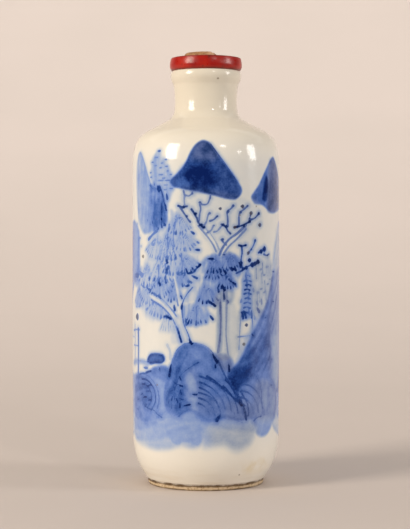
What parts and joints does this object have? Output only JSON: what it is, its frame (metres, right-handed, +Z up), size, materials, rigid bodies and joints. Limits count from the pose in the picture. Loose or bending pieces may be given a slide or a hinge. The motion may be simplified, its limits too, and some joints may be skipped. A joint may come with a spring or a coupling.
{
  "type": "snuff bottle",
  "caption": "Cylindrical porcelain snuff bottle painted in underglaze blue, closed by a red ring stopper with a worn cork.",
  "frame": {"origin": "centre of the foot ring, on the plane the bottle stands on", "axes": "+Z up along the bottle's axis; the painted front that the picture shows faces -Y, with +X to its viewer's right"},
  "size_m": [0.0264, 0.0264, 0.0771],
  "materials": {
    "porcelain": "clear glossy glaze over an underglaze blue landscape, bare foot ring",
    "red_stone": "polished deep red, the colour of coral or carnelian",
    "cork": "worn, broken cork"
  },
  "bodies": {
    "root": {"bottle": "porcelain", "stopper_ring": "red_stone", "stopper_cork": "cork"}
  },
  "joints": []
}
